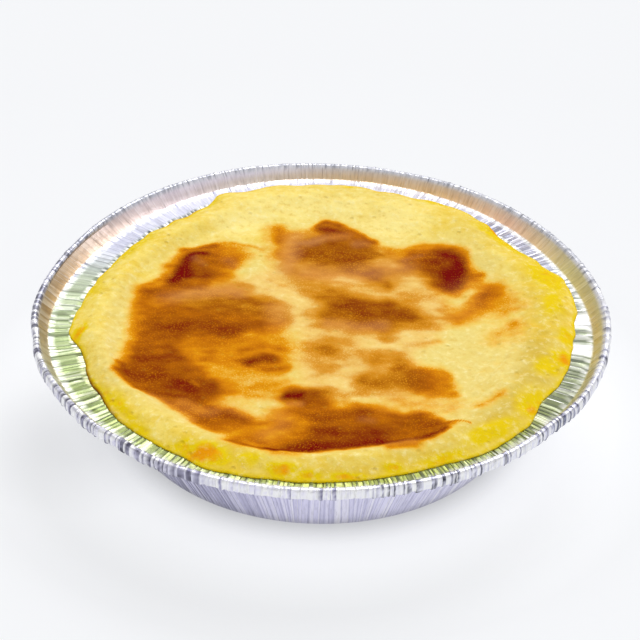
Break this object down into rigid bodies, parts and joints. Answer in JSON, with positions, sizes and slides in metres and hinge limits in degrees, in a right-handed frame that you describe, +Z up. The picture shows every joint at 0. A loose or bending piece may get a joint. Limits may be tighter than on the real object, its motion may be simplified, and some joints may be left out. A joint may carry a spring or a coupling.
{
  "type": "cheese pie in a foil tin",
  "caption": "Round baked cheese pie with no crust, a puffed pale ring and a browned sunken middle, in its own pleated foil tin with a rolled rim.",
  "frame": {"origin": "middle of the tin's base, on the surface that it stands on", "axes": "+Z up through the middle of the pie, -Y towards the front, +X to the right"},
  "size_m": [0.2302, 0.2305, 0.0468],
  "materials": {
    "foil": "bright crinkled foil",
    "baked_cheese": "soft baked custard, pale yellow with a browned skin"
  },
  "bodies": {
    "root": {"foil_tin": "foil", "cheese_pie": "baked_cheese"}
  },
  "joints": []
}
